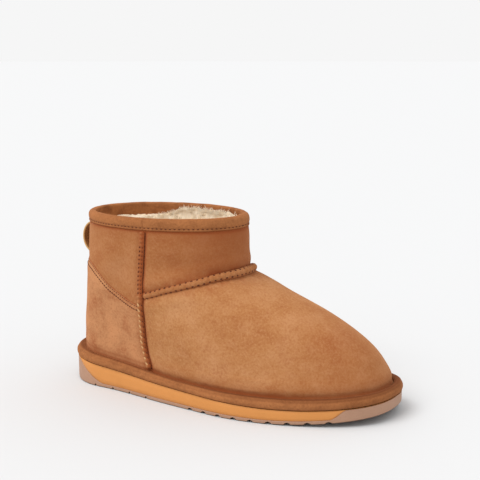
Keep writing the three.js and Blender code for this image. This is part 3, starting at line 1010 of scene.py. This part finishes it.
class BOOT_OT_counter(bpy.types.Operator):
    """Builds the heel counter that wraps the back of the boot below its sloping edge"""
    bl_idname = "boot.counter"
    bl_label = "Heel Counter"

    columns, rows = 220, 72

    def execute(self, context):
        colours, sizes = context.scene.boot_colours, context.scene.boot_sizes
        counter_suede = suede(
            "counter_suede", colours.counter, shaded(colours.counter, 1.24), colours.vamp_dark_and_shade,
            patch_scale=52.0, patches=1.5,
        )
        skin = surface_of("upper_skin")
        bm = bmesh.new()
        bmesh.ops.create_grid(bm, x_segments=self.columns, y_segments=self.rows, size=1)
        shade = bm.verts.layers.float.new("shade")
        for vert in bm.verts:
            u, v = (vert.co.x + 1) / 2, (vert.co.y + 1) / 2
            vert.co, vert[shade] = self.laid(skin, u, v, sizes.counter_thickness / MM)
        bmesh.ops.recalc_face_normals(bm, faces=bm.faces)
        bm.normal_update()
        back = min(bm.faces, key=lambda face: face.calc_center_median().x)
        if back.normal.x > 0:
            bmesh.ops.reverse_faces(bm, faces=bm.faces)
        bm = with_modifier(bm, "SOLIDIFY", thickness=0.9 * MM, offset=-1)
        finish_piece("heel_counter_suede", bm, counter_suede, "counter_suede", "heel_counter")
        return {"FINISHED"}

    def laid(self, skin, u, v, thickness):
        """Where a point of the counter's outer face comes to lie, and how much painted shade it gets."""
        spot, normal, from_front, from_top = counter_spot(skin, u, v)
        x, y, z = measure(spot)
        from_edge = min(from_front, from_top)
        up = z - bed(x) - foxing_top(x)
        billow = noise.noise(Vector((x, y, z)) / 34 + Vector((3, 9, 4)))
        pinch = 0.6 + 0.4 * noise.noise(Vector((x / 14, y / 14, 1)))
        lift = 0.3 + (thickness - 0.3) * smooth((from_edge + 0.3) / 4.5)
        lift += 0.35 * swell(from_top - 7, 4) - 0.25 * swell(from_top - 3, 2)
        lift += 0.45 * billow * smooth(from_edge / 10) * smooth(up / 6)
        lift -= 0.7 * swell(up - 3.5, 1.6) * pinch
        # Painted shade along the counter's edges, in the crease above the foxing, in its pinched fold, and
        # towards the side seams.
        dark = 0.8 * swell(from_edge, 0.8) + 0.6 * swell(up, 1.8) + 0.4 * swell(up - 3.7, 1.0)
        dark += 0.2 * swell(from_front, 5) + 0.16 * swell(up, 8)
        return spot + normal * lift * MM, min(1.0, dark)


# ---- trim -----------------------------------------------------------------------------------
LOOP_SAG, LOOP_THICKNESS = 2.4, 1.7


class BOOT_OT_trim(bpy.types.Operator):
    """Builds the foxing round the sole, the collar binding and the pull loop"""
    bl_idname = "boot.trim"
    bl_label = "Trim"

    def execute(self, context):
        colours = context.scene.boot_colours
        trim = suede(
            "trim_suede", colours.trim, shaded(colours.trim, 1.3), colours.trim_dark_and_shade, patch_scale=45.0,
            patches=0.7, nap=0.4,
        )
        foxing = subdivided(cad_quads("foxing"), 3)
        for vert in foxing.verts:
            x, _, z = measure(vert.co)
            vert.co.z -= (FOXING_HEIGHT - foxing_top(x)) * smooth((z - bed(x)) / FOXING_HEIGHT) * MM
        relieve(foxing, self.foxing_relief)
        finish_piece("foxing_suede", foxing, trim, "trim_suede", "foxing")
        binding = cad_quads("collar_binding")
        grow(binding, 0.15)
        binding = subdivided(binding, 3)
        relieve(binding, self.binding_relief)
        finish_piece("collar_binding_suede", binding, trim, "trim_suede", "collar_binding")
        self.add_loop(colours)
        return {"FINISHED"}

    def foxing_relief(self, normal, x, y, z):
        """A gently rippled band with a faint fold near its top, and painted shade along both edges and in
        the fold.
        """
        up, top = z - bed(x), foxing_top(x)
        out = smooth(up / 2) * smooth((FOXING_HEIGHT - up) / 2)
        ripple = noise.noise(Vector((x / 15, y / 15, z / 9))) * 0.3
        ripple += noise.noise(Vector((x, y, z)) / 5) * 0.12
        fold = top - 2.2 + 0.5 * noise.noise(Vector((x, y, 0)) / 20)
        # Painted shade along both edges, over its top part towards the toe and in the fold; the band is
        # also darker towards the toe, with a faint random tone.
        dark = 0.04 + 0.5 * swell(up + 0.2, 0.9) + 0.7 * smooth((up - top + 0.9) / 0.9)
        dark += (0.12 + 0.3 * smooth((x - 120) / 80)) * smooth((up - top + 3.2) / 2.4)
        dark += 0.3 * smooth((x - 200) / 60) + 0.12 * noise.noise(Vector((x, y, z)) / 9)
        dark += 0.14 * swell(up - fold, 0.6)
        rise = ripple * out + 0.2 * swell(up - 3.6, 2.0) - 0.2 * swell(up - fold, 0.7)
        return normal * rise, max(0.0, dark)

    def binding_relief(self, normal, x, y, z):
        """Outside, a stitched groove near the foot and a join by the side seam; inside, blotches."""
        outward = Vector((x - SHAFT_X, y, 0)).normalized()
        up = z - collar_level(BINDING_FOOT, x)
        spot = Vector((x, y, z))
        rise = 0.22 * noise.noise(spot / 12) + 0.1 * noise.noise(spot / 4)
        if normal.dot(outward) > 0.2:
            join = swell(x - SIDE_SEAM(133) - 0.5, 0.7) if y < 0 else 0
            rise += -0.55 * swell(up - 1.9, 0.9) + 0.25 * swell(up - 6, 2.2) - 0.3 * join
            # Painted shade along the lower edge and in the stitched groove, faint darkening near the top,
            # and a darker join.
            dark = 0.8 * swell(up, 0.7) + 0.3 * swell(up - 1.9, 0.8) + 0.15 * swell(up - 9, 2)
            dark += 0.35 * join
        else:
            dark = 0.05 + 0.4 * smooth(noise.noise(spot / 7 + Vector((2, 5, 8))) * 2.2)
        return normal * rise, dark

    def add_loop(self, colours):
        """The pull loop: a strap bent into a D, sewn in at both ends, that has sagged a little."""
        low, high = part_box("pull_loop")
        low.z -= LOOP_SAG * MM
        half_width = (high.y - low.y) / MM / 2
        centre = Vector((high.x, MIDDLE_Y, (low.z + high.z) / 2))
        half_thick = LOOP_THICKNESS * MM / 2
        reach, tall = (high.x - low.x) - half_thick, (high.z - low.z) / 2 - half_thick
        stations = []
        for angle in steps(-0.06, math.pi + 0.06, 41):
            spot = centre + Vector((-reach * math.sin(angle), 0, tall * math.cos(angle)))
            along = Vector((-reach * math.cos(angle), 0, -tall * math.sin(angle))).normalized()
            out = Vector((-tall * math.sin(angle), 0, reach * math.cos(angle))).normalized()
            stations.append(station(spot, along, out, (half_width - 0.1) * MM, half_thick))
        bm = bmesh.new()
        sweep(bm, stations, segments=40, squareness=0.32)
        bmesh.ops.recalc_face_normals(bm, faces=bm.faces)
        shade = bm.verts.layers.float.new("shade")
        edge = bm.verts.layers.float.new("cut_edge")
        for vert in bm.verts:
            away = vert.co - centre
            inner = math.hypot(away.x / reach, away.z / tall) < 0.97
            # Painted shade on the strap's inner face.
            vert[shade] = 0.2 if inner else 0.05
            vert[edge] = smooth((abs(away.y) / MM - half_width + 1.0) / 0.7)
        strap = suede(
            "loop_suede", colours.loop, shaded(colours.loop, 1.2), colours.trim_dark_and_shade, patch_scale=70.0,
            edge_colour=colours.loop_edge,
        )
        finish_piece("pull_loop_suede", bm, strap, "trim_suede", "pull_loop")


# ---- seams ----------------------------------------------------------------------------------
ROPE_STEP = 0.55                    # spacing of a rope's sections
VAMP_ROW_OFFSET = 2.1               # of the vamp seam's two rows of stitches from its middle
BAND_PITCH, BAND_RISE = 3.3, 0.75   # the flatter upper part of a side seam
SHADE_LINE_OFFSET = 2.2                 # of the line of painted shade in the groove in front of a side seam
COUNTER_ROWS = ((1.5, 1.4, 0.6), (4.1, 1.8, 1.0))     # inset, length and thickness of its stitches
COLLAR_ROW_RISE = 1.9


class BOOT_OT_seams(bpy.types.Operator):
    """Lays the roped seams and the stitches on the upper, counter and collar"""
    bl_idname = "boot.seams"
    bl_label = "Seams and Stitches"

    def execute(self, context):
        colours, sizes = context.scene.boot_colours, context.scene.boot_sizes
        self.width, self.rise = sizes.bead_width / MM, sizes.bead_rise / MM
        self.pitch, self.seed = sizes.rope_pitch / MM, sizes.seed
        self.skin = surface_of("upper_skin")
        self.ropes, self.pale, self.dark = bmesh.new(), bmesh.new(), bmesh.new()
        shade = self.ropes.verts.layers.float.new("shade")
        self.vamp_seam()
        for side in (OUTER, INNER):
            self.side_seam(side)
        self.counter_stitches()
        self.collar_stitches(sizes.collar_pitch / MM)
        # Painted shade where each rope meets the skin and on the front half of the lower side ropes, over
        # a darker tone throughout.
        for vert in self.ropes.verts:
            distance = self.skin.find_nearest(vert.co)[3] / MM
            x, _, z = measure(vert.co)
            past_side = x - SIDE_SEAM(z)
            front_half_shade = smooth((past_side + 0.6) / 1.6) * (0.45 if past_side < 4 else 0)
            vert[shade] = min(1.0, 0.36 + 0.6 * swell(distance, 1.1) + front_half_shade)
        rope_suede = suede(
            "seam_suede", shaded(colours.vamp, 0.93), colours.vamp_light, colours.vamp_dark_and_shade,
            patch_scale=60.0,
        )
        pale = thread("pale_thread", colours.thread_light)
        dark = thread("dark_thread", colours.thread_dark)
        for bm in (self.ropes, self.pale, self.dark):
            bmesh.ops.recalc_face_normals(bm, faces=bm.faces)
        finish_piece("seam_ropes", self.ropes, rope_suede, "upper_suede", "upper")
        finish_piece("seam_thread", self.pale, pale, "upper_suede", "upper")
        # The dark thread's mesh also holds the painted-shade lines before the side seams.
        finish_piece("stitches", self.dark, dark, "trim_suede", "upper")
        return {"FINISHED"}

    def rope(self, path, width_at, rise_at, pitch, swelling):
        """A rounded ridge that swells between its stitches, tapered at both ends."""
        spots = resample(path, ROPE_STEP)
        last = len(spots) - 1
        stations = []
        for i, (spot, along, out) in enumerate(spots):
            taper = smooth(min(i, last - i) * ROPE_STEP / 1.2) * 0.8 + 0.2
            wave = 1 - swelling * math.cos(math.tau * i * ROPE_STEP / pitch)
            half_width = width_at(i / last) / 2 * MM * taper
            stations.append(station(spot, along, out, half_width, rise_at(i / last) * MM * taper * wave))
        sweep(self.ropes, stations, segments=14)

    def vamp_seam(self):
        """The seam that joins vamp and shaft, a full roll at the front, with two rows of stitches."""
        path = []
        for angle in steps(-VAMP_SEAM_END, VAMP_SEAM_END, 260):
            heading = math.radians(angle)
            towards = -Vector((math.cos(heading), math.sin(heading), 0))
            spot, normal = touch(self.skin, place(SHAFT_X, 0, VAMP_SEAM(abs(angle))), towards)
            lift = 0.9 * swell(angle, 50) - 0.1
            path.append((spot + normal * lift * MM, normal))
        path = eased(path, 10)

        def fuller(size, amount):
            """A size that grows by the amount towards the front of the seam."""
            return lambda share: size + amount * swell((share - 0.5) * 2 * VAMP_SEAM_END, 34)

        self.rope(path, fuller(self.width, 1.4), fuller(self.rise, 1.9), self.pitch, 0.1)
        roll = BVHTree.FromBMesh(self.ropes)
        order = random.Random(self.seed)
        for spot, along, out in resample(path, self.pitch)[1:-1]:
            across = along.cross(out).normalized()
            for way in (-1, 1):
                start = spot + (across * way * VAMP_ROW_OFFSET + out * 12) * MM
                hits = [surface.ray_cast(start, -out) for surface in (roll, self.skin)]
                seat, tilt, _, _ = min((hit for hit in hits if hit[0] is not None), key=lambda hit: hit[3])
                length = order.uniform(1.7, 2.5)
                stitch(self.dark, seat + tilt * 0.1 * MM, along, tilt, length, order.uniform(1.2, 1.6))

    def side_seam(self, side):
        """The side seam: a roped seam below the vamp's, and a flatter band above it."""
        order = random.Random(self.seed)
        foot = bed(90) + foxing_top(90) + 1.2
        meeting = VAMP_SEAM(VAMP_SEAM_END)
        towards = Vector((0, -side, 0))

        def path(low, high, count, ahead=0.0):
            """The seam's line on the skin between two heights."""
            spots = [place(SIDE_SEAM(z) + ahead, 0, z) for z in steps(low, high, count)]
            return eased([touch(self.skin, spot, towards) for spot in spots], 4)

        lower = path(foot, meeting + 1.5, 90)
        self.rope(lower, lambda _: self.width, lambda _: self.rise, self.pitch, 0.25)
        for spot, along, out in resample(lower, self.pitch)[1:-1]:
            across = along.cross(out).normalized() * side
            lean = (along * 0.75 + across * order.uniform(0.3, 0.7)).normalized()
            seat = spot + (across * order.uniform(0.5, 1.0) + out * self.rise * 0.74) * MM
            stitch(self.pale, seat, lean, out, order.uniform(2.8, 4.4), order.uniform(1.6, 2.1), flat=0.75)
            stitch(self.dark, spot + (across * -2.0 + out * self.rise * 0.5) * MM, lean, out, 1.9, 1.0)
        upper = path(meeting - 1, SIDE_SEAM_TOP, 80)
        self.rope(upper, lambda _: self.width - 0.6, lambda _: BAND_RISE, BAND_PITCH, 0.4)
        for spot, along, out in resample(upper, BAND_PITCH)[1:-3]:
            across = along.cross(out).normalized() * side
            length = order.uniform(1.1, 2.0)
            stitch(self.dark, spot + (across * 1.5 + out * 0.55) * MM, along, out, length, 1.0)
            stitch(self.dark, spot + (across * -1.0 + out * 0.5) * MM, along, out, length * 0.7, 0.8)
        # A thin dark tube in the groove before the seam, standing for its painted shade.
        for low, high in ((foot, meeting - 1), (meeting + 2, SIDE_SEAM_TOP - 1)):
            shade_line = resample(path(low, high, 80, SHADE_LINE_OFFSET), 0.8)
            stations = [station(spot, along, out, 0.55 * MM, 0.35 * MM) for spot, along, out in shade_line]
            sweep(self.dark, stations, segments=8)

    def counter_stitches(self):
        """Two fine rows along the counter's sloping edge, from side seam to side seam."""
        counter = surface_of("heel_counter_suede")
        for inset, length, thickness in COUNTER_ROWS:
            path = []
            for u in steps(0.004, 0.996, 260):
                spot, normal, _, _ = counter_spot(self.skin, u, 1, inset)
                seat, out, _, _ = counter.ray_cast(spot + normal * 8 * MM, -normal)
                path.append((seat, out) if seat is not None else (spot, normal))
            for spot, along, out in resample(eased(path), 2.3):
                stitch(self.dark, spot + out * 0.1 * MM, along, out, length, thickness)

    def collar_stitches(self, pitch):
        """One row near the lower edge of the collar's binding."""
        binding = surface_of("collar_binding_suede")
        path = []
        for angle in steps(0, math.tau, 300):
            inward = -Vector((math.cos(angle), math.sin(angle), 0))
            x = SHAFT_X
            for _ in range(2):
                level = collar_level(BINDING_FOOT, x) + COLLAR_ROW_RISE
                spot, normal = touch(binding, place(SHAFT_X, 0, level), inward)
                x = measure(spot)[0]
            path.append((spot, normal))
        for spot, along, out in resample(eased(path), pitch):
            stitch(self.dark, spot, along, out, 1.9, 1.15)


# ---- stage ----------------------------------------------------------------------------------
class BOOT_OT_stage(bpy.types.Operator):
    """Sets the pale floor, the soft studio light and the camera"""
    bl_idname = "boot.stage"
    bl_label = "Stage"

    azimuth, elevation, distance = math.radians(30.224), math.radians(10.149), 0.8
    aim = (148.63, 0, 123.85)
    lens, sensor = 78.74, 36
    key_strength, key_spread, sky_strength = 1.75, math.radians(38), 0.922
    floor_radius = 30

    def execute(self, context):
        scene = context.scene
        bm = bmesh.new()
        bmesh.ops.create_circle(bm, cap_ends=True, radius=self.floor_radius, segments=64)
        floor = in_scene("floor", as_mesh("floor", bm))
        paper, tree, shader = principled("paper", Roughness=1.0, Specular_IOR_Level=0.0)
        fibre = grain(tree, own_place(tree), 300.0, 2.0)
        shade = mix(tree, fibre, (0.679, 0.681, 0.684), (0.685, 0.687, 0.690))
        tree.links.new(shade, shader.inputs["Base Color"])
        floor.data.materials.append(paper)

        world = scene.world or bpy.data.worlds.new("studio")
        scene.world = world
        world.use_nodes = True
        world.node_tree.nodes.clear()
        sky = add(
            world.node_tree, "ShaderNodeBackground", {"Color": (1, 1, 1), "Strength": self.sky_strength}
        )
        add(world.node_tree, "ShaderNodeOutputWorld", {"Surface": sky.outputs[0]})

        back = Vector((
            math.sin(self.azimuth) * math.cos(self.elevation),
            -math.cos(self.azimuth) * math.cos(self.elevation),
            math.sin(self.elevation),
        ))
        camera = in_scene("camera", bpy.data.cameras.new("camera"))
        camera.data.lens, camera.data.sensor_width = self.lens, self.sensor
        camera.data.clip_start, camera.data.clip_end = 0.05, 100
        camera.location = place(*self.aim) + back * self.distance
        self.turn_to(camera, (-back).to_track_quat("-Z", "Y"))
        scene.camera = camera

        left = Vector((0, 0, 1)).cross(back).normalized() * -1
        key = in_scene("key", bpy.data.lights.new("key", "SUN"))
        key.data.energy, key.data.angle = self.key_strength, self.key_spread
        towards = (Vector((0, 0, 1)) * 0.85 + left * 0.55 + back * 0.35).normalized()
        self.turn_to(key, towards.to_track_quat("Z", "Y"))
        scene.view_settings.view_transform = "Standard"
        return {"FINISHED"}

    def turn_to(self, item, rotation):
        item.rotation_mode = "QUATERNION"
        item.rotation_quaternion = rotation


# ---- add-on ---------------------------------------------------------------------------------
OPERATORS = (
    BOOT_OT_stage, BOOT_OT_sole, BOOT_OT_upper, BOOT_OT_lining, BOOT_OT_counter, BOOT_OT_trim,
    BOOT_OT_seams,
)


class BOOT_PT_panel(bpy.types.Panel):
    """Lists the boot's pieces, sizes and colours"""
    bl_idname = "BOOT_PT_panel"
    bl_label = "Sheepskin Boot"
    bl_space_type = "VIEW_3D"
    bl_region_type = "UI"
    bl_category = "Boot"

    def draw(self, context):
        for operator in OPERATORS:
            self.layout.operator(operator.bl_idname)
        for group in (context.scene.boot_sizes, context.scene.boot_colours):
            for name in group.__annotations__:
                self.layout.prop(group, name)


CLASSES = (BootColours, BootSizes, *OPERATORS, BOOT_PT_panel)


def register():
    for cls in CLASSES:
        bpy.utils.register_class(cls)
    bpy.types.Scene.boot_colours = PointerProperty(type=BootColours)
    bpy.types.Scene.boot_sizes = PointerProperty(type=BootSizes)


def unregister():
    del bpy.types.Scene.boot_sizes
    del bpy.types.Scene.boot_colours
    for cls in reversed(CLASSES):
        bpy.utils.unregister_class(cls)


def main():
    register()
    for operator in OPERATORS:
        group, name = operator.bl_idname.split(".")
        getattr(getattr(bpy.ops, group), name)()


if __name__ == "__main__":
    main()
